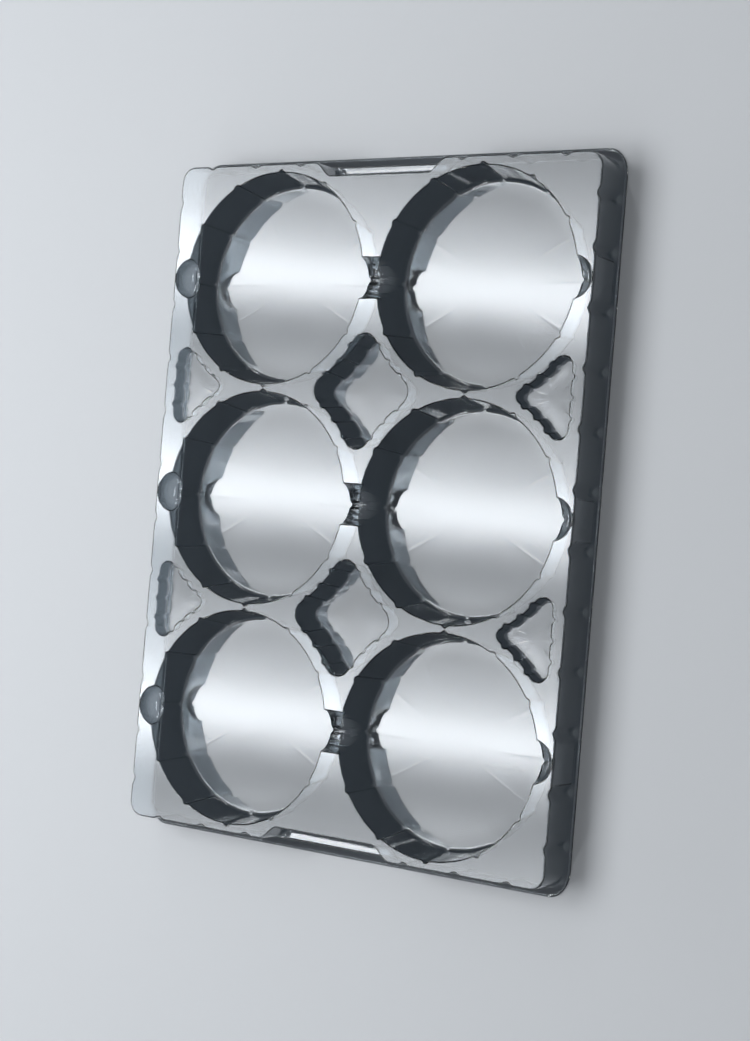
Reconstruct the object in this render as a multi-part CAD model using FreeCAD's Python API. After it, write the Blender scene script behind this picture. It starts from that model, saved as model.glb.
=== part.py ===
import FreeCAD, Part
import math
import os

# Clear thermoformed tray: one drawn sheet with six round pockets.
# Millimetres. X runs across the two columns, Y along the three rows, Z up.
# The origin is the middle of the footprint, on the surface that the tray rests on.
#
# The sheet is the space between two forms: the upper form fills everything under
# its top face, and the lower form is the same shape one sheet further in.

sheet = 0.6

# share of a flute's width that its flat crown takes
flute_crown = 0.48

# round pockets
rows = 3
columns = 2
pocket_radius = 56.0
pocket_depth = 22.4
pocket_draft = 8.3
row_land = 4.4
column_land = 9.8

# flutes round each pocket
pocket_flutes = 12
pocket_flute_radius = 3.6
pocket_flute_rise = 1.35
pocket_facets = 4

# deck outside the pockets
side_land = 9.3
end_land = 4.7
deck_corner_radius = 8.0

# finger trough that crosses each row and ends in a round notch on both sides
trough_half_width = 10.4
trough_depth = 9.4
notch_edge_land = 0.8
trough_facets = 4
notch_facets = 8

# diamond and triangle recesses between the rims
recess_land = 7.3
recess_draft = 10.0
diamond_depth = 15.0
diamond_corner_radius = 7.5
triangle_depth = 6.4
triangle_inner_radius = 3.4
triangle_outer_radius = 5.0
recess_corner_facets = 6
recess_flutes = 3
recess_flute_radius = 2.6
recess_flute_rise = 0.9
recess_flute_inset = 3.2
straight_flute_spacing = 10.2

# ledge recess in the middle of both short sides
ledge_width = 62.0
ledge_flare = 6.5
ledge_inset = 7.2
ledge_depth = 16.2
ledge_draft = 8.0
ledge_inner_radius = 4.0
ledge_mouth_radius = 5.0

# skirt with its flutes
skirt_draft = 2.0
skirt_flute_radius = 3.6
skirt_flute_bite = 1.3
side_flutes_per_pocket = 4
end_flutes = 3
end_flute_spacing = 28.8
corner_flute_inset = 20.0

# raised panels on the skirt beside the notches
panel_rise = 0.8
panel_drop = 3.5
panel_gap = 1.2

# out-turned foot
foot_height = 3.6
side_foot_width = 2.0
end_foot_width = 5.2
foot_edge_width = 1.0

# places that follow from the sizes above
row_pitch = 2 * pocket_radius + row_land
column_pitch = 2 * pocket_radius + column_land
row_places = [row_pitch * (i - (rows - 1) / 2) for i in range(rows)]
column_places = [column_pitch * (i - (columns - 1) / 2) for i in range(columns)]
row_gaps = [(low + high) / 2 for low, high in zip(row_places, row_places[1:])]
column_gaps = [(low + high) / 2 for low, high in zip(column_places, column_places[1:])]
deck_top = sheet + pocket_depth
deck_half_x = column_places[-1] + pocket_radius + side_land
deck_half_y = row_places[-1] + pocket_radius + end_land
pocket_floor = sheet
up = FreeCAD.Vector(0, 0, 1)


def spread(draft, z):
    # how far a wall of this draft has moved in from its place on the deck
    return (deck_top - z) * math.tan(math.radians(draft))


def heading(angle):
    return FreeCAD.Vector(math.cos(angle), math.sin(angle), 0)


def bearing(start, end):
    return math.atan2(end.y - start.y, end.x - start.x)


def flute_half_width(radius, rise, skin):
    # half the width of a flute where it meets its wall
    return math.sqrt((radius + skin) ** 2 - (radius + skin - rise) ** 2)


def flute(near, tip, far):
    # three flat faces between the two places where a flute meets its wall
    crown = (far - near) * flute_crown / 2
    points = [near, tip - crown, tip + crown, far]
    return [Part.makeLine(start, end) for start, end in zip(points, points[1:])]


def arc(circle, start, end):
    centre, radius = circle
    points = [centre + heading(angle) * radius for angle in (start, (start + end) / 2, end)]
    return Part.Arc(*points).toShape()


def facets(circle, start, end, count):
    # flat faces that follow a circle between two angles
    centre, radius = circle
    step = (end - start) / count
    points = [centre + heading(start + step * i) * radius for i in range(count + 1)]
    return [Part.makeLine(near, far) for near, far in zip(points, points[1:])]


def fluted_arc(circle, start, middles, half_width, rise, count):
    # facets from an angle up to each flute in turn, and the angle at the end of the last flute;
    # the flutes bulge outwards if rise is positive
    centre, radius = circle
    edges = []
    for middle in middles:
        half = math.copysign(half_width / radius, middle - start)
        edges += facets(circle, start, middle - half, count)
        near, far = [centre + heading(angle) * radius for angle in (middle - half, middle + half)]
        edges += flute(near, centre + heading(middle) * (radius + rise), far)
        start = middle + half
    return edges, start


def fluted_line(start, end, stations, half_width, bulge):
    # straight run with a flute at each distance from its start
    along = FreeCAD.Vector(end - start).normalize()
    edges = []
    place = start
    for station in stations:
        middle = start + along * station
        near = middle - along * half_width
        far = middle + along * half_width
        edges.append(Part.makeLine(place, near))
        edges += flute(near, middle + bulge, far)
        place = far
    edges.append(Part.makeLine(place, end))
    return edges


def loft(outline, low, high):
    # drafted block whose outline is a function of the height
    return Part.makeLoft([Part.Wire(outline(low)), Part.Wire(outline(high))], True, True)


def pocket(skin):
    # fluted round pocket, its centre on the origin
    half_width = flute_half_width(pocket_flute_radius, pocket_flute_rise, skin)
    step = 2 * math.pi / pocket_flutes

    def outline(z):
        radius = pocket_radius - spread(pocket_draft, z) + skin
        middles = [step * (i + 1) for i in range(pocket_flutes)]
        edges, _ = fluted_arc((up * z, radius), half_width / radius, middles, half_width,
                              pocket_flute_rise, pocket_facets)
        return edges

    return loft(outline, pocket_floor - skin, deck_top - skin)


def trough(skin):
    # finger trough along X with round ends, its oval section and ends in flat faces
    reach = deck_half_x - notch_edge_land - trough_half_width
    turns = [math.pi / 2 * (i + 0.5) / (trough_facets - 0.5) for i in range(trough_facets)]
    fall = trough_depth / math.cos(turns[0]) + skin

    def outline(turn):
        half = (trough_half_width + skin) * math.sin(turn)
        level = up * (deck_top - fall * math.cos(turn))
        angles = [math.pi * (i / notch_facets - 0.5) for i in range(notch_facets + 1)]
        points = [level + heading(0) * reach + heading(angle) * half for angle in angles]
        points += [level - heading(0) * reach - heading(angle) * half for angle in angles]
        return Part.makePolygon(points + points[:1])

    return Part.makeLoft([outline(turn) for turn in turns], True, True)


def rim_curve(x, y, z, skin):
    # the curve that a recess follows beside the rim centred on x and y
    radius = pocket_radius + recess_land + spread(recess_draft, z) - skin
    return FreeCAD.Vector(x, y, z), radius


def recess_corner(x, y, z, radius, skin):
    return FreeCAD.Vector(x, y, z), radius - spread(recess_draft, z) + skin


def beside(radius, off):
    # distance along an axis to a corner that touches the curve of a rim off that axis
    return math.sqrt((pocket_radius + recess_land + radius) ** 2 - off ** 2)


def round_corner(corner, start, end):
    # anticlockwise between two bearings
    return facets(corner, start, start + (end - start) % (2 * math.pi), recess_corner_facets)


def rim_side(curve, first, last, skin):
    # recess side from one corner to the next, straight between its evenly spaced flutes
    centre, radius = curve
    start = bearing(centre, first[0])
    end = bearing(centre, last[0])
    end = start + (end - start + math.pi) % (2 * math.pi) - math.pi
    inset = math.copysign(recess_flute_inset / (pocket_radius + recess_land), end - start)
    step = (end - start - 2 * inset) / (recess_flutes - 1)
    middles = [start + inset + step * i for i in range(recess_flutes)]
    half_width = flute_half_width(recess_flute_radius, recess_flute_rise, skin)
    edges, place = fluted_arc(curve, start, middles, half_width, -recess_flute_rise, 1)
    return edges + facets(curve, place, end, 1)


def diamond(skin):
    # four sides that follow the rims round the gap on the origin, with round corners
    half_x = column_pitch / 2
    half_y = row_pitch / 2
    corner_x = half_x - beside(diamond_corner_radius, half_y)
    corner_y = half_y - beside(diamond_corner_radius, half_x)

    def outline(z):
        turns = ((1, 0), (0, 1), (-1, 0), (0, -1))
        corners = [recess_corner(x * corner_x, y * corner_y, z, diamond_corner_radius, skin)
                   for x, y in turns]
        curves = [rim_curve((x - y) * half_x, (x + y) * half_y, z, skin) for x, y in turns]
        edges = []
        for i, corner in enumerate(corners):
            before = bearing(corner[0], curves[i - 1][0])
            after = bearing(corner[0], curves[i][0])
            edges += round_corner(corner, before, after)
            edges += rim_side(curves[i], corner, corners[(i + 1) % 4], skin)
        return edges

    return loft(outline, deck_top - diamond_depth - skin, deck_top - skin)


def triangle(skin):
    # two sides that follow the rims of the last column, one straight beside the deck edge
    half_y = row_pitch / 2
    left = column_places[-1]
    outer_x = deck_half_x - recess_land - triangle_outer_radius
    outer_y = half_y - beside(triangle_outer_radius, outer_x - left)
    inner_x = left + beside(triangle_inner_radius, half_y)
    half_width = flute_half_width(recess_flute_radius, recess_flute_rise, skin)
    stations = [outer_y + straight_flute_spacing * (i - (recess_flutes - 1) / 2)
                for i in range(recess_flutes)]

    def outline(z):
        inner = recess_corner(inner_x, 0, z, triangle_inner_radius, skin)
        low = recess_corner(outer_x, -outer_y, z, triangle_outer_radius, skin)
        high = recess_corner(outer_x, outer_y, z, triangle_outer_radius, skin)
        lower = rim_curve(left, -half_y, z, skin)
        upper = rim_curve(left, half_y, z, skin)
        start, end = [centre + heading(0) * radius for centre, radius in (low, high)]
        edges = rim_side(lower, inner, low, skin)
        edges += round_corner(low, bearing(low[0], lower[0]), 0)
        edges += fluted_line(start, end, stations, half_width, heading(0) * recess_flute_rise)
        edges += round_corner(high, 0, bearing(high[0], upper[0]))
        edges += rim_side(upper, high, inner, skin)
        edges += round_corner(inner, bearing(inner[0], upper[0]), bearing(inner[0], lower[0]))
        return edges

    return loft(outline, deck_top - triangle_depth - skin, deck_top - skin)


def block_outline(half_x, half_y, radius, z, x_stations=(), y_stations=(), half_width=0, bite=0):
    # rectangle round the origin with round corners, and flutes that bite into its sides
    edges = []
    for quarter in range(4):
        turn = math.pi / 2 * quarter
        out = heading(turn)
        along = heading(turn + math.pi / 2)
        reach, run = (half_x, half_y) if quarter % 2 == 0 else (half_y, half_x)
        stations = y_stations if quarter % 2 == 0 else x_stations
        start = out * reach - along * (run - radius) + up * z
        end = out * reach + along * (run - radius) + up * z
        edges += fluted_line(start, end, [run - radius + place for place in stations],
                             half_width, out * -bite)
        edges.append(arc((end - out * radius, radius), turn, turn + math.pi / 2))
    return edges


def skirt_stations():
    # places of the skirt's flutes along X and along Y, each list from low to high
    step = row_pitch / side_flutes_per_pocket
    count = side_flutes_per_pocket
    along_y = [y + step * (i - (count - 1) / 2) for y in row_places for i in range(count)]
    along_y[0] = corner_flute_inset - deck_half_y
    along_y[-1] = deck_half_y - corner_flute_inset
    high_x = [deck_half_x - corner_flute_inset - end_flute_spacing * i for i in range(end_flutes)]
    return [-x for x in high_x] + high_x[::-1], along_y


def skirt(skin):
    # block with the drafted and fluted outside of the skirt
    x_stations, y_stations = skirt_stations()
    half_width = flute_half_width(skirt_flute_radius, skirt_flute_bite, skin)

    def outline(z):
        out = -spread(-skirt_draft, z) - skin
        return block_outline(deck_half_x + out, deck_half_y + out, deck_corner_radius + out, z,
                             x_stations, y_stations, half_width, skirt_flute_bite)

    return loft(outline, 0, deck_top - skin)


def panels(skin):
    # shallow raised panels on the long sides, one beside each row's notches
    def outline(z):
        out = -spread(-skirt_draft, z) - skin + panel_rise
        return block_outline(deck_half_x + out, deck_half_y, deck_corner_radius, z)

    high = deck_top - panel_drop - skin
    flute_half = flute_half_width(skirt_flute_radius, skirt_flute_bite, 0)
    half = row_pitch / side_flutes_per_pocket / 2 - flute_half - panel_gap - skin
    reach = 2 * deck_half_x
    bands = [Part.makeBox(2 * reach, 2 * half, high, FreeCAD.Vector(-reach, y - half, 0))
             for y in row_places]
    return loft(outline, 0, high).common(Part.makeCompound(bands))


def foot(skin):
    # the skirt's out-turned foot, with a narrow flat edge on the upper form
    low = sheet - skin
    high = foot_height - skin
    bottom = spread(skirt_draft, 0) - foot_edge_width - skin
    top = spread(skirt_draft, foot_height) - skin
    radius = deck_corner_radius + side_foot_width

    def outline(z):
        if z == high:
            return block_outline(deck_half_x + top, deck_half_y + top, radius + top, z)
        return block_outline(deck_half_x + side_foot_width + bottom,
                             deck_half_y + end_foot_width + bottom, radius + bottom, z)

    def edge(z):
        out = bottom + foot_edge_width
        return block_outline(deck_half_x + side_foot_width + out,
                             deck_half_y + end_foot_width + out, radius + out, z)

    flare = loft(outline, low, high)
    return flare.fuse(loft(edge, 0, sheet)) if skin == 0 else flare


def steep_edges(form):
    # edges that run up a wall
    return [edge for edge in form.Edges
            if abs(edge.firstVertex().Z - edge.lastVertex().Z) > sheet]


def nearest_edges(edges, places):
    # for each place, the edge that passes closest to it
    picked = []
    for place in places:
        spot = Part.Vertex(place)
        picked.append(min(edges, key=lambda edge: edge.distToShape(spot)[0]))
    return picked


def ledge(skin):
    # trapezoid recess at the +Y edge, open towards the outside
    low = deck_top - ledge_depth - skin
    high = deck_top - skin
    outside = deck_half_y + end_foot_width + ledge_inset
    slope = ledge_flare / ledge_inset

    def outline(z):
        inner_y = deck_half_y - ledge_inset - skin + spread(ledge_draft, z)
        inner_x = ledge_width / 2 + skin - spread(ledge_draft, z)
        outer_x = inner_x + slope * (outside - inner_y)
        corners = [(-inner_x, inner_y), (inner_x, inner_y), (outer_x, outside), (-outer_x, outside)]
        points = [FreeCAD.Vector(x, y, z) for x, y in corners]
        return [Part.makeLine(points[i - 1], points[i]) for i in range(4)]

    form = loft(outline, low, high)
    inner = [edge for edge in steep_edges(form) if edge.CenterOfMass.y < deck_half_y]
    return form.makeFillet(ledge_inner_radius + skin, inner)


def ledge_mouths(form):
    # steep edges where the ledge recesses open through the skirt
    half = ledge_width / 2 + ledge_flare
    places = [FreeCAD.Vector(x, y, deck_top)
              for x in (-half, half) for y in (-deck_half_y, deck_half_y)]
    return nearest_edges(steep_edges(form), places)


def turned(form, degrees):
    copy = form.copy()
    copy.rotate(FreeCAD.Vector(0, 0, 0), up, degrees)
    return copy


def copies(form, places):
    return [form.translated(FreeCAD.Vector(x, y, 0)) for x, y in places]


def tray_form(skin):
    # everything under the sheet's top face, or under its lower face when skin is the sheet
    ledges = [turned(ledge(skin), degrees) for degrees in (0, 180)]
    form = skirt(skin).cut(ledges)
    form = form.makeFillet(ledge_mouth_radius - skin, ledge_mouths(form))
    form = form.fuse([panels(skin), foot(skin)])
    hollows = copies(pocket(skin), [(x, y) for x in column_places for y in row_places])
    hollows += copies(trough(skin), [(0, y) for y in row_places])
    hollows += copies(diamond(skin), [(x, y) for x in column_gaps for y in row_gaps])
    for degrees in (0, 180):
        hollows += copies(turned(triangle(skin), degrees), [(0, y) for y in row_gaps])
    return form.cut(hollows)


tray = tray_form(0).cut(tray_form(sheet))
os.makedirs("parts", exist_ok=True)
tray.exportStep("parts/tray.step")
print("tray", len(tray.Solids), "solid", tray.isValid(), round(tray.Volume), "mm3")
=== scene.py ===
import math
import bmesh
import bpy
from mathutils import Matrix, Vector


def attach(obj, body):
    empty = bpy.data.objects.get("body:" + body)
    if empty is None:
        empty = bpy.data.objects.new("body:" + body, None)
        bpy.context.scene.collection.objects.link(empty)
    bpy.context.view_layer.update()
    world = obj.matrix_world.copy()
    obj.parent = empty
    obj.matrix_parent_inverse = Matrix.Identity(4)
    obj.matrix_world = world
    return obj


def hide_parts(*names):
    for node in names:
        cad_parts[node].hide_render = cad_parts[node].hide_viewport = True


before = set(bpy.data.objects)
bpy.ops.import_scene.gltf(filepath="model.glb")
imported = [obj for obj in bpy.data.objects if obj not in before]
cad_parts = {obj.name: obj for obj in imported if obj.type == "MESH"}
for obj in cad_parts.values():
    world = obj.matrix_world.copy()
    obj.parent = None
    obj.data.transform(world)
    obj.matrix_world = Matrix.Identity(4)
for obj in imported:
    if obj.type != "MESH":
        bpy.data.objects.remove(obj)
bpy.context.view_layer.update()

# The sheet is drawn as its upper surface in millimetres, cut with drawn tools,
# and then gets its thickness.

sheetSize = {
    "thickness": 0.6,
    "deckTop": 23.0,
    "deckHalfX": 126.2,
    "deckHalfY": 177.1,
    "deckCornerRadius": 8.0,
    "rowPitch": 116.4,
    "columnPitch": 121.8,
}
rowPlaces = [-sheetSize["rowPitch"], 0.0, sheetSize["rowPitch"]]
columnPlaces = [-sheetSize["columnPitch"] / 2, sheetSize["columnPitch"] / 2]
rowGaps = [-sheetSize["rowPitch"] / 2, sheetSize["rowPitch"] / 2]
fluteSteps = [-1, -0.67, -0.33, 0, 0.33, 0.67]


def heading(angle):
    return Vector((math.cos(angle), math.sin(angle)))


def bearing(start, end):
    return math.atan2(end.y - start.y, end.x - start.x)


def fluteStations(start, end, middles, halfWidth, between):
    # places from start up to end with close steps over each flute, and how far each has risen
    if end < start:
        halfWidth = -halfWidth
    stations = []
    edge = start
    for middle in middles + [None]:
        stop = end if middle is None else middle - halfWidth
        stations += [(edge + (stop - edge) * i / between, 0.0) for i in range(between)]
        if middle is not None:
            stations += [(middle + halfWidth * t, (1 + math.cos(math.pi * t)) / 2) for t in fluteSteps]
            edge = middle + halfWidth
    return stations


def arcSide(centre, radius, start, end, middles, halfWidth, rise, outward, between):
    # points on an arc, each with the direction in which its outline grows
    points = []
    for angle, share in fluteStations(start, end, middles, halfWidth / radius, between):
        out = heading(angle) * outward
        points.append((centre + heading(angle) * radius + out * (rise * share), out))
    return points


def straightSide(start, end, out, middles, halfWidth, rise, between):
    along = (end - start).normalized()
    points = []
    for place, share in fluteStations(0.0, (end - start).length, middles, halfWidth, between):
        points.append((start + along * place + out * (rise * share), out))
    return points


def wallSection(depth, draft, rimFillet, floorFillet, rimSteps=4, floorSteps=4):
    # how far out and how high each ring of a recess lies, from just above the deck to its floor
    turn = math.radians(90 - draft)
    slope = math.tan(math.radians(draft))
    rimReach = rimFillet * math.tan(turn / 2)
    floorReach = floorFillet * math.tan(turn / 2)
    section = [(rimReach, 0.06)]
    for i in range(1, rimSteps + 1):
        u = turn * i / rimSteps
        section.append((rimReach - rimFillet * math.sin(u), -rimFillet * (1 - math.cos(u))))
    floorPlace = -depth * slope - floorReach
    for i in range(floorSteps + 1):
        u = turn * (1 - i / floorSteps)
        section.append((floorPlace + floorFillet * math.sin(u), -depth + floorFillet * (1 - math.cos(u))))
    return section


def ringAt(outline, offset, height):
    top = sheetSize["deckTop"]
    return [Vector((base.x + out.x * offset, base.y + out.y * offset, top + height)) for base, out in outline]


def ringEdges(bm, ring):
    return [bm.edges.get((ring[i - 1], ring[i])) for i in range(len(ring))]


def firstRing(bm, places):
    ring = bmesh.ops.create_circle(bm, segments=len(places), radius=1.0)["verts"]
    for vert, place in zip(ring, places):
        vert.co = place
    return ring


def nextRing(bm, ring, places):
    made = bmesh.ops.extrude_edge_only(bm, edges=ringEdges(bm, ring))["geom"]
    fresh = {item for item in made if isinstance(item, bmesh.types.BMVert)}
    following = []
    for vert, place in zip(ring, places):
        partner = next(edge.other_vert(vert) for edge in vert.link_edges if edge.other_vert(vert) in fresh)
        partner.co = place
        following.append(partner)
    return following


def drawnBody(bm, rings):
    # closed body through its rings, the first and the last closed with one face
    ring = firstRing(bm, rings[0])
    bmesh.ops.contextual_create(bm, geom=ringEdges(bm, ring))
    for places in rings[1:]:
        ring = nextRing(bm, ring, places)
    bmesh.ops.contextual_create(bm, geom=ringEdges(bm, ring))


def bodyObject(name, bm):
    bmesh.ops.recalc_face_normals(bm, faces=bm.faces)
    mesh = bpy.data.meshes.new(name)
    bm.to_mesh(mesh)
    bm.free()
    body = bpy.data.objects.new(name, mesh)
    bpy.context.scene.collection.objects.link(body)
    return body


# round pockets

pocketSize = {
    "radius": 56.0,
    "depth": 22.4,
    "draft": 8.3,
    "rimFillet": 0.9,
    "floorFillet": 2.0,
    "flutes": 12,
    "fluteHalfWidth": 2.3,
    "fluteRise": 1.35,
    "floorRings": 7,
    "floorCrown": 0.45,
}


def pocketRings(x, y):
    size = pocketSize
    step = 2 * math.pi / size["flutes"]
    middles = [step * i for i in range(size["flutes"])]
    outline = arcSide(Vector((x, y)), size["radius"], -step / 2, 2 * math.pi - step / 2, middles,
                      size["fluteHalfWidth"], size["fluteRise"], 1, 5)
    section = wallSection(size["depth"], size["draft"], size["rimFillet"], size["floorFillet"])
    rings = [ringAt(outline, offset, height) for offset, height in section]
    edge = rings[-1]
    centre = Vector((x, y, edge[0].z))
    for i in range(1, size["floorRings"] + 1):
        share = i / (size["floorRings"] + 0.3)
        lift = Vector((0, 0, size["floorCrown"] * (1 - (1 - share) ** 2)))
        rings.append([place.lerp(centre, share) + lift for place in edge])
    return rings


# diamond and triangle recesses

recessSize = {
    "land": 7.3,
    "draft": 10.0,
    "rimFillet": 1.0,
    "floorFillet": 1.4,
    "flutes": 3,
    "fluteInset": 3.2,
    "fluteHalfWidth": 2.3,
    "fluteRise": 1.3,
    "diamondDepth": 15.0,
    "diamondCorner": 7.5,
    "triangleDepth": 6.4,
    "triangleInnerCorner": 3.4,
    "triangleOuterCorner": 5.0,
    "triangleMiddle": 108.5,
    "straightFluteSpacing": 10.2,
    "floorRings": 3,
    "floorCrown": 0.15,
}


def besideRim(radius, off):
    return math.sqrt((pocketSize["radius"] + recessSize["land"] + radius) ** 2 - off ** 2)


def cornerSide(centre, radius, start, end):
    turn = (end - start) % (2 * math.pi)
    return arcSide(centre, radius, start, start + turn, [], 0.0, 0.0, 1, 7)


def rimSide(rimCentre, first, last):
    # recess side that follows a pocket's rim, with flutes towards the rim
    size = recessSize
    radius = pocketSize["radius"] + size["land"]
    start = bearing(rimCentre, first)
    turn = (bearing(rimCentre, last) - start + math.pi) % (2 * math.pi) - math.pi
    inset = math.copysign(size["fluteInset"] / radius, turn)
    step = (turn - 2 * inset) / (size["flutes"] - 1)
    middles = [start + inset + step * i for i in range(size["flutes"])]
    return arcSide(rimCentre, radius, start, start + turn, middles, size["fluteHalfWidth"],
                   size["fluteRise"], -1, 1)


def diamondOutline():
    halfX = sheetSize["columnPitch"] / 2
    halfY = sheetSize["rowPitch"] / 2
    radius = recessSize["diamondCorner"]
    cornerX = halfX - besideRim(radius, halfY)
    cornerY = halfY - besideRim(radius, halfX)
    turns = ((1, 0), (0, 1), (-1, 0), (0, -1))
    corners = [Vector((x * cornerX, y * cornerY)) for x, y in turns]
    rims = [Vector(((x - y) * halfX, (x + y) * halfY)) for x, y in turns]
    outline = []
    for i, corner in enumerate(corners):
        outline += cornerSide(corner, radius, bearing(corner, rims[i - 1]), bearing(corner, rims[i]))
        outline += rimSide(rims[i], corner, corners[(i + 1) % 4])
    return outline


def triangleOutline():
    size = recessSize
    halfY = sheetSize["rowPitch"] / 2
    left = columnPlaces[-1]
    outer = size["triangleOuterCorner"]
    inner = size["triangleInnerCorner"]
    outerX = sheetSize["deckHalfX"] - size["land"] - outer
    outerY = halfY - besideRim(outer, outerX - left)
    innerCorner = Vector((left + besideRim(inner, halfY), 0))
    low = Vector((outerX, -outerY))
    high = Vector((outerX, outerY))
    lowerRim = Vector((left, -halfY))
    upperRim = Vector((left, halfY))
    side = Vector((outer, 0))
    middles = [outerY + size["straightFluteSpacing"] * i for i in (-1, 0, 1)]
    outline = rimSide(lowerRim, innerCorner, low)
    outline += cornerSide(low, outer, bearing(low, lowerRim), 0)
    outline += straightSide(low + side, high + side, Vector((1, 0)), middles, size["fluteHalfWidth"],
                            size["fluteRise"], 1)
    outline += cornerSide(high, outer, 0, bearing(high, upperRim))
    outline += rimSide(upperRim, high, innerCorner)
    outline += cornerSide(innerCorner, inner, bearing(innerCorner, upperRim), bearing(innerCorner, lowerRim))
    return outline


def recessRings(outline, depth, centre):
    size = recessSize
    section = wallSection(depth, size["draft"], size["rimFillet"], size["floorFillet"])
    rings = [ringAt(outline, offset, height) for offset, height in section]
    edge = rings[-1]
    middle = Vector((centre.x, centre.y, edge[0].z))
    for i in range(1, size["floorRings"] + 1):
        share = i / (size["floorRings"] + 0.6)
        lift = Vector((0, 0, size["floorCrown"] * (1 - (1 - share) ** 2)))
        rings.append([place.lerp(middle, share) + lift for place in edge])
    return rings


def placed(rings, x, y, side=1):
    # side of -1 turns the recess half a turn
    return [[Vector((place.x * side + x, place.y * side + y, place.z)) for place in ring] for ring in rings]


# finger troughs with a round notch at both ends

troughSize = {
    "halfWidth": 10.4,
    "depth": 9.4,
    "rimFillet": 0.7,
    "edgeLand": 1.2,
    "sectionSteps": 9,
    "endSteps": 16,
}


def troughRings(y):
    size = troughSize
    reach = sheetSize["deckHalfX"] - size["edgeLand"] - size["halfWidth"]
    outline = []
    for side, start in ((1, -math.pi / 2), (-1, math.pi / 2)):
        centre = Vector((side * reach, y))
        for i in range(size["endSteps"] + 1):
            out = heading(start + math.pi * i / size["endSteps"])
            outline.append((centre + out * size["halfWidth"], out))
    section = [(size["rimFillet"], 0.06)]
    for i in range(1, 4):
        u = math.pi / 2 * i / 3
        section.append((size["rimFillet"] * (1 - math.sin(u)), -size["rimFillet"] * (1 - math.cos(u))))
    fall = size["depth"] - size["rimFillet"]
    for i in range(1, size["sectionSteps"] + 1):
        u = math.pi / 2 * i / (size["sectionSteps"] + 0.4)
        section.append((-size["halfWidth"] * (1 - math.cos(u)), -size["rimFillet"] - fall * math.sin(u)))
    return [ringAt(outline, offset, height) for offset, height in section]


# skirt with its flutes, panels, end ledges and foot

skirtSize = {
    "draft": 2.0,
    "topFillet": 0.9,
    "fluteHalfWidth": 3.7,
    "fluteBite": 1.35,
    "flutesPerPocket": 4,
    "endFluteSpacing": 28.8,
    "cornerFluteInset": 20.0,
    "panelRise": 0.8,
    "panelDrop": 3.5,
    "panelHalf": 10.3,
    "footHeight": 3.6,
    "sideFoot": 2.0,
    "endFoot": 5.2,
    "footEdge": 1.0,
}
ledgeSize = {
    "halfWidth": 34.4,
    "mouth": 10.5,
    "inset": 7.2,
    "depth": 16.2,
    "draft": 8.0,
    "rimFillet": 0.9,
    "floorFillet": 2.0,
}


def smooth(share):
    share = min(1.0, max(0.0, share))
    return share * share * (3 - 2 * share)


def ledgeShare(x):
    return smooth((ledgeSize["halfWidth"] + ledgeSize["mouth"] / 2 - abs(x)) / ledgeSize["mouth"])


def skirtOutline():
    # points anticlockwise from the corner of low Y on the +X side: place, outward direction,
    # share of a flute, share of the ledge and share of a panel
    size = skirtSize
    halfX = sheetSize["deckHalfX"]
    halfY = sheetSize["deckHalfY"]
    radius = sheetSize["deckCornerRadius"]
    step = sheetSize["rowPitch"] / size["flutesPerPocket"]
    alongY = [y + step * (i - 1.5) for y in rowPlaces for i in range(4)]
    alongY[0] = size["cornerFluteInset"] - halfY
    alongY[-1] = -alongY[0]
    highX = [halfX - size["cornerFluteInset"] - size["endFluteSpacing"] * i for i in (2, 1, 0)]
    alongX = [-x for x in reversed(highX)] + highX
    points = []
    for quarter in range(4):
        out = heading(math.pi / 2 * quarter)
        along = heading(math.pi / 2 * (quarter + 1))
        onSide = quarter % 2 == 0
        reach, run = (halfX, halfY) if onSide else (halfY, halfX)
        marks = {}
        for middle in alongY if onSide else alongX:
            for t in fluteSteps + [1]:
                marks[middle + size["fluteHalfWidth"] * t] = (1 + math.cos(math.pi * t)) / 2
        extra = [y + s * (size["panelHalf"] + d) for y in rowPlaces for s in (-1, 1) for d in (-0.5, 0, 0.5)]
        if not onSide:
            steps = range(-6, 7)
            extra = [s * (ledgeSize["halfWidth"] + ledgeSize["mouth"] / 12 * i) for s in (-1, 1) for i in steps]
        for place in extra:
            marks[place] = 0.0
        for place in sorted(marks):
            spot = out * reach + along * place
            nearest = min(abs(place - y) for y in rowPlaces)
            panel = smooth((size["panelHalf"] + 0.5 - nearest) / 1.0) if onSide else 0.0
            points.append((spot, out, marks[place], 0.0 if onSide else ledgeShare(spot.x), panel))
        centre = out * (reach - radius) + along * (run - radius)
        for i in range(13):
            turned = heading(math.pi / 2 * (quarter + i / 12))
            points.append((centre + turned * radius, turned, 0.0, 0.0, 0.0))
    return points


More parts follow.
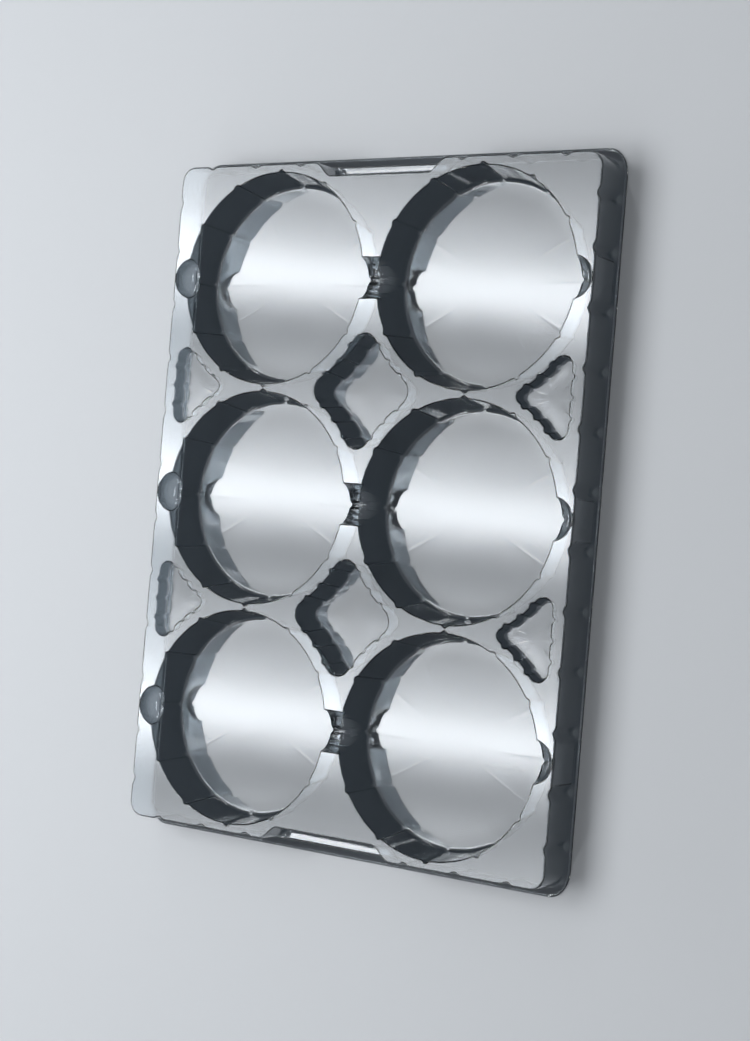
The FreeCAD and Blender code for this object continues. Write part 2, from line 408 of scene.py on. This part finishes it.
def skirtLevels():
    # each level: offset and height beside the ledges, offset and height inside them, share of the
    # flutes, share of the panels
    size = skirtSize
    top = sheetSize["deckTop"]
    slope = math.tan(math.radians(size["draft"]))
    rim = size["topFillet"]
    turn = math.radians(90 - size["draft"])
    reach = rim * math.tan(turn / 2)
    ledgeSlope = math.tan(math.radians(ledgeSize["draft"]))
    ledgeTurn = math.radians(90 - ledgeSize["draft"])
    ledgeReach = rim * math.tan(ledgeTurn / 2)
    ledgeFloor = top - ledgeSize["depth"]
    levels = []
    for i in range(5):
        u = turn * i / 4
        v = ledgeTurn * i / 4
        levels.append((-reach + rim * math.sin(u), top - rim * (1 - math.cos(u)),
                       -ledgeSize["inset"] - ledgeReach + rim * math.sin(v), top - rim * (1 - math.cos(v)), 1, 0))
    for height, panel in ((top - size["panelDrop"] + 0.5, 0), (top - size["panelDrop"] - 0.3, 1)):
        fall = top - height
        levels.append((fall * slope, height, -ledgeSize["inset"] + fall * ledgeSlope, height, 1, panel))
    fillet = ledgeSize["floorFillet"]
    back = -ledgeSize["inset"] + ledgeSize["depth"] * ledgeSlope + fillet * math.tan(ledgeTurn / 2)
    for i, height in enumerate((10.0, 9.2, 8.5, 7.9)):
        v = ledgeTurn * (1 - i / 3)
        levels.append(((top - height) * slope, height, back - fillet * math.sin(v),
                       ledgeFloor + fillet * (1 - math.cos(v)), 1, 1))
    edge = ledgeSize["depth"] * slope
    for i, height in enumerate((7.4, 7.0, 6.6, 6.2)):
        u = turn * i / 3
        levels.append(((top - height) * slope, height, edge - reach + rim * math.sin(u),
                       ledgeFloor - rim * (1 - math.cos(u)), 1, 1))
    height = size["footHeight"] + 1.0
    levels.append(((top - height) * slope, height, (top - height) * slope, height, 1, 1))
    return levels


def skirtRings():
    size = skirtSize
    top = sheetSize["deckTop"]
    outline = skirtOutline()
    rings = []
    for offset, height, ledgeOffset, ledgeHeight, flute, panel in skirtLevels():
        ring = []
        for spot, out, fluteShare, ledge, panelShare in outline:
            grow = offset + (ledgeOffset - offset) * ledge - size["fluteBite"] * fluteShare * flute
            grow += size["panelRise"] * panelShare * panel
            place = spot + out * grow
            ring.append(Vector((place.x, place.y, height + (ledgeHeight - height) * ledge)))
        rings.append(ring)
    foot = top * math.tan(math.radians(size["draft"]))
    flare = ((-0.05, 3.6, 0.75, 0.75), (0.16, 2.9, 0.45, 0.4), (0.5, 1.9, 0.2, 0.1), (0.86, 0.95, 0.0, 0.0),
             (1.0, 0.6, 0.0, 0.0))
    for share, height, flute, panel in flare:
        ring = []
        for spot, out, fluteShare, ledge, panelShare in outline:
            swell = size["panelRise"] * panelShare * panel - size["fluteBite"] * fluteShare * flute
            side = foot + swell + (size["sideFoot"] - size["footEdge"]) * share
            end = foot + swell + (size["endFoot"] - size["footEdge"]) * share
            ring.append(Vector((spot.x + out.x * side, spot.y + out.y * end, height)))
        rings.append(ring)
    sideEdge = foot + size["sideFoot"]
    endEdge = foot + size["endFoot"]
    rings.append([Vector((spot.x + out.x * sideEdge, spot.y + out.y * endEdge, 0.6))
                  for spot, out, *_ in outline])
    rings.append([Vector((place.x, place.y, -3.0)) for place in rings[-1]])
    return rings


# the formed sheet

def cut(body, tool):
    modifier = body.modifiers.new("cut", "BOOLEAN")
    modifier.operation = "DIFFERENCE"
    modifier.solver = "EXACT"
    modifier.object = tool
    shown = body.evaluated_get(bpy.context.evaluated_depsgraph_get())
    mesh = bpy.data.meshes.new_from_object(shown)
    body.modifiers.clear()
    body.data = mesh
    bpy.data.objects.remove(tool)


def formedSheet():
    bm = bmesh.new()
    drawnBody(bm, skirtRings())
    body = bodyObject("formedTray", bm)
    print("skirt and deck drawn")

    bm = bmesh.new()
    for x in columnPlaces:
        for y in rowPlaces:
            drawnBody(bm, pocketRings(x, y))
    diamond = recessRings(diamondOutline(), recessSize["diamondDepth"], Vector((0, 0)))
    middle = Vector((recessSize["triangleMiddle"], 0))
    triangle = recessRings(triangleOutline(), recessSize["triangleDepth"], middle)
    for y in rowGaps:
        drawnBody(bm, placed(diamond, 0, y))
        for side in (1, -1):
            drawnBody(bm, placed(triangle, 0, y, side))
    cut(body, bodyObject("recessTools", bm))
    print("pockets and recesses cut")

    bm = bmesh.new()
    for y in rowPlaces:
        drawnBody(bm, troughRings(y))
    cut(body, bodyObject("troughTools", bm))
    print("troughs cut")

    bm = bmesh.new()
    bm.from_mesh(body.data)
    under = [face for face in bm.faces if min(vert.co.z for vert in face.verts) < 0.3]
    bmesh.ops.delete(bm, geom=under, context="FACES")
    bmesh.ops.remove_doubles(bm, verts=bm.verts, dist=0.002)
    bmesh.ops.dissolve_degenerate(bm, edges=bm.edges, dist=0.002)
    bmesh.ops.scale(bm, verts=bm.verts, vec=(0.001, 0.001, 0.001))
    for face in bm.faces:
        face.smooth = True
    bm.to_mesh(body.data)
    bm.free()
    wall = body.modifiers.new("sheet", "SOLIDIFY")
    wall.thickness = sheetSize["thickness"] * 0.001
    wall.offset = -1.0
    wall.use_even_offset = True
    wall.use_quality_normals = True
    wall.thickness_clamp = 0.0
    shading = body.modifiers.new("shading", "WEIGHTED_NORMAL")
    shading.mode = "FACE_AREA"
    shading.weight = 50
    shading.keep_sharp = False
    return body


# clear sheet material

clearLook = {
    "flatTint": (0.86, 0.89, 0.92),
    # colour of steep walls, darker than the flats as painted shade
    "wallPaintedShade": (0.46, 0.50, 0.53),
    "ior": 1.57,
    "roughness": 0.05,
    "waveHeight": 0.00005,
    "streakHeight": 0.000002,
    "shadowTint": (0.30, 0.315, 0.33),
}


def clearSheetMaterial():
    material = bpy.data.materials.new("clearPolyesterSheet")
    material.use_nodes = True
    nodes = material.node_tree.nodes
    links = material.node_tree.links
    nodes.clear()
    output = nodes.new("ShaderNodeOutputMaterial")
    sheet = nodes.new("ShaderNodeBsdfPrincipled")
    sheet.inputs["IOR"].default_value = clearLook["ior"]
    sheet.inputs["Transmission Weight"].default_value = 1.0

    # darker colour on steep walls is painted shade, set for looks alone: real drawn walls are thinner and paler
    form = nodes.new("ShaderNodeNewGeometry")
    axes = nodes.new("ShaderNodeSeparateXYZ")
    flatness = nodes.new("ShaderNodeMath")
    flatness.operation = "ABSOLUTE"
    share = nodes.new("ShaderNodeMapRange")
    share.interpolation_type = "SMOOTHSTEP"
    share.inputs["From Min"].default_value = 0.25
    share.inputs["From Max"].default_value = 0.85
    tintWithWallShade = nodes.new("ShaderNodeMix")
    tintWithWallShade.data_type = "RGBA"
    tintWithWallShade.inputs["A"].default_value = (*clearLook["wallPaintedShade"], 1)
    tintWithWallShade.inputs["B"].default_value = (*clearLook["flatTint"], 1)
    links.new(form.outputs["Normal"], axes.inputs["Vector"])
    links.new(axes.outputs["Z"], flatness.inputs[0])
    links.new(flatness.outputs["Value"], share.inputs["Value"])
    links.new(share.outputs["Result"], tintWithWallShade.inputs["Factor"])
    links.new(tintWithWallShade.outputs["Result"], sheet.inputs["Base Color"])

    # faint haze, slow waves left by cooling and fine draw lines
    place = nodes.new("ShaderNodeTexCoord")
    haze = nodes.new("ShaderNodeTexNoise")
    haze.inputs["Scale"].default_value = 60.0
    haze.inputs["Detail"].default_value = 3.0
    hazeRange = nodes.new("ShaderNodeMapRange")
    hazeRange.inputs["To Min"].default_value = clearLook["roughness"] * 0.6
    hazeRange.inputs["To Max"].default_value = clearLook["roughness"] * 1.6
    wave = nodes.new("ShaderNodeTexNoise")
    wave.inputs["Scale"].default_value = 22.0
    wave.inputs["Detail"].default_value = 1.0
    waveBump = nodes.new("ShaderNodeBump")
    waveBump.inputs["Distance"].default_value = clearLook["waveHeight"]
    drawn = nodes.new("ShaderNodeMapping")
    drawn.inputs["Scale"].default_value = (900.0, 35.0, 35.0)
    streak = nodes.new("ShaderNodeTexNoise")
    streak.inputs["Scale"].default_value = 1.0
    streak.inputs["Detail"].default_value = 2.0
    streakBump = nodes.new("ShaderNodeBump")
    streakBump.inputs["Distance"].default_value = clearLook["streakHeight"]
    links.new(place.outputs["Object"], haze.inputs["Vector"])
    links.new(place.outputs["Object"], wave.inputs["Vector"])
    links.new(place.outputs["Object"], drawn.inputs["Vector"])
    links.new(drawn.outputs["Vector"], streak.inputs["Vector"])
    links.new(haze.outputs["Fac"], hazeRange.inputs["Value"])
    links.new(hazeRange.outputs["Result"], sheet.inputs["Roughness"])
    links.new(wave.outputs["Fac"], waveBump.inputs["Height"])
    links.new(streak.outputs["Fac"], streakBump.inputs["Height"])
    links.new(waveBump.outputs["Normal"], streakBump.inputs["Normal"])
    links.new(streakBump.outputs["Normal"], sheet.inputs["Normal"])

    # light that falls through is dimmed more than by a clear sheet, to deepen the ground under it
    through = nodes.new("ShaderNodeBsdfTransparent")
    through.inputs["Color"].default_value = (*clearLook["shadowTint"], 1)
    path = nodes.new("ShaderNodeLightPath")
    soft = nodes.new("ShaderNodeMath")
    soft.operation = "MAXIMUM"
    mix = nodes.new("ShaderNodeMixShader")
    links.new(path.outputs["Is Shadow Ray"], soft.inputs[0])
    links.new(path.outputs["Is Diffuse Ray"], soft.inputs[1])
    links.new(soft.outputs["Value"], mix.inputs["Fac"])
    links.new(sheet.outputs["BSDF"], mix.inputs[1])
    links.new(through.outputs["BSDF"], mix.inputs[2])
    links.new(mix.outputs["Shader"], output.inputs["Surface"])
    return material


def plainMaterial(name, colour, roughness):
    material = bpy.data.materials.new(name)
    material.use_nodes = True
    shader = material.node_tree.nodes["Principled BSDF"]
    shader.inputs["Base Color"].default_value = (*colour, 1)
    shader.inputs["Roughness"].default_value = roughness
    return material


tray = formedSheet()
tray.data.materials.clear()
tray.data.materials.append(clearSheetMaterial())
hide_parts("tray")
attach(tray, "root")
print("sheet finished")


# studio

studio = {
    "floorColour": (0.62, 0.63, 0.645),
    "worldColour": (0.15, 0.157, 0.165),
    "lampColour": (0.94, 0.97, 1.0),
    "softboxDistance": 1.3,
    "softboxDirection": (-0.540, 0.0175, 0.842),
    "softboxSize": (1.10, 0.70),
    "softboxStrength": 2.5,
    "gradeStrength": 2.6,
    "hotStrength": 6.5,
    "hotPitch": 0.272,
    "hotHeight": 0.05,
    "stripPower": 2.0,
    "stripSize": (1.1, 0.05),
}


def mathNode(nodes, links, operation, first, second):
    node = nodes.new("ShaderNodeMath")
    node.operation = operation
    for socket, value in zip(node.inputs, (first, second)):
        if isinstance(value, (int, float)):
            socket.default_value = value
        else:
            links.new(value, socket)
    return node.outputs["Value"]


def softboxMaterial():
    # diffuser graded once for each row of pockets, with a brighter band in its middle
    material = bpy.data.materials.new("softboxDiffuser")
    material.use_nodes = True
    nodes = material.node_tree.nodes
    links = material.node_tree.links
    nodes.clear()
    place = nodes.new("ShaderNodeTexCoord")
    axes = nodes.new("ShaderNodeSeparateXYZ")
    links.new(place.outputs["Object"], axes.inputs["Vector"])
    row = mathNode(nodes, links, "DIVIDE", axes.outputs["X"], studio["hotPitch"])
    off = mathNode(nodes, links, "SUBTRACT", row, mathNode(nodes, links, "ROUND", row, 0.0))
    ratio = mathNode(nodes, links, "MULTIPLY", off, studio["hotPitch"] / studio["hotHeight"])
    square = mathNode(nodes, links, "MULTIPLY", ratio, ratio)
    band = mathNode(nodes, links, "EXPONENT", mathNode(nodes, links, "MULTIPLY", square, -1.0), 0.0)
    hot = mathNode(nodes, links, "MULTIPLY", band, studio["hotStrength"])
    swing = mathNode(nodes, links, "SINE", mathNode(nodes, links, "MULTIPLY", off, 2 * math.pi), 0.0)
    fall = mathNode(nodes, links, "SUBTRACT", 1.0, swing)
    grade = mathNode(nodes, links, "MULTIPLY", fall, studio["gradeStrength"] / 2)
    even = mathNode(nodes, links, "ADD", grade, studio["softboxStrength"])
    glow = nodes.new("ShaderNodeEmission")
    glow.inputs["Color"].default_value = (*studio["lampColour"], 1)
    links.new(mathNode(nodes, links, "ADD", hot, even), glow.inputs["Strength"])
    output = nodes.new("ShaderNodeOutputMaterial")
    links.new(glow.outputs["Emission"], output.inputs["Surface"])
    return material


def makeSoftbox():
    direction = Vector(studio["softboxDirection"]).normalized()
    bm = bmesh.new()
    bmesh.ops.create_grid(bm, x_segments=1, y_segments=1, size=0.5)
    bmesh.ops.scale(bm, verts=bm.verts, vec=(*studio["softboxSize"], 1))
    box = bodyObject("softbox", bm)
    box.data.materials.append(softboxMaterial())
    box.location = Vector((0, 0, 0.02)) + direction * studio["softboxDistance"]
    box.rotation_euler = direction.to_track_quat("Z", "Y").to_euler()
    box.visible_camera = False


def stripLamp(name, place, up):
    # narrow lamp that draws a thin line along bends
    lamp = bpy.data.lights.new(name, "AREA")
    lamp.shape = "RECTANGLE"
    lamp.size, lamp.size_y = studio["stripSize"]
    lamp.energy = studio["stripPower"]
    lamp.color = studio["lampColour"]
    holder = bpy.data.objects.new(name, lamp)
    holder.location = place
    holder.rotation_euler = Vector(place).to_track_quat("Z", up).to_euler()
    bpy.context.scene.collection.objects.link(holder)


def makeStudio():
    bm = bmesh.new()
    bmesh.ops.create_grid(bm, x_segments=1, y_segments=1, size=6.0)
    bmesh.ops.translate(bm, verts=bm.verts, vec=(0, 0, -0.0004))
    floor = bodyObject("studioFloor", bm)
    floor.data.materials.append(plainMaterial("paleFloor", studio["floorColour"], 0.9))
    world = bpy.data.worlds.new("studioWorld")
    world.use_nodes = True
    world.node_tree.nodes["Background"].inputs["Color"].default_value = (*studio["worldColour"], 1)
    bpy.context.scene.world = world
    makeSoftbox()
    stripLamp("overheadStrip", (0.25, 0.0, 1.25), "Y")
    stripLamp("leftStrip", (-1.30, 0.0, 0.40), "Y")
    stripLamp("farStrip", (-0.35, 1.15, 0.85), "X")
    stripLamp("nearStrip", (-0.35, -1.15, 0.85), "X")


def makeCamera():
    lens = bpy.data.cameras.new("camera")
    lens.lens = 64.36
    lens.sensor_width = 36.0
    lens.clip_start = 0.01
    camera = bpy.data.objects.new("camera", lens)
    camera.location = (0.5131, -0.0166, 0.8228)
    camera.rotation_euler = [math.radians(angle) for angle in (3.524, 31.712, 5.610)]
    bpy.context.scene.collection.objects.link(camera)
    bpy.context.scene.camera = camera


makeStudio()
makeCamera()
bpy.context.scene.view_settings.view_transform = "Standard"
print("studio and camera placed")
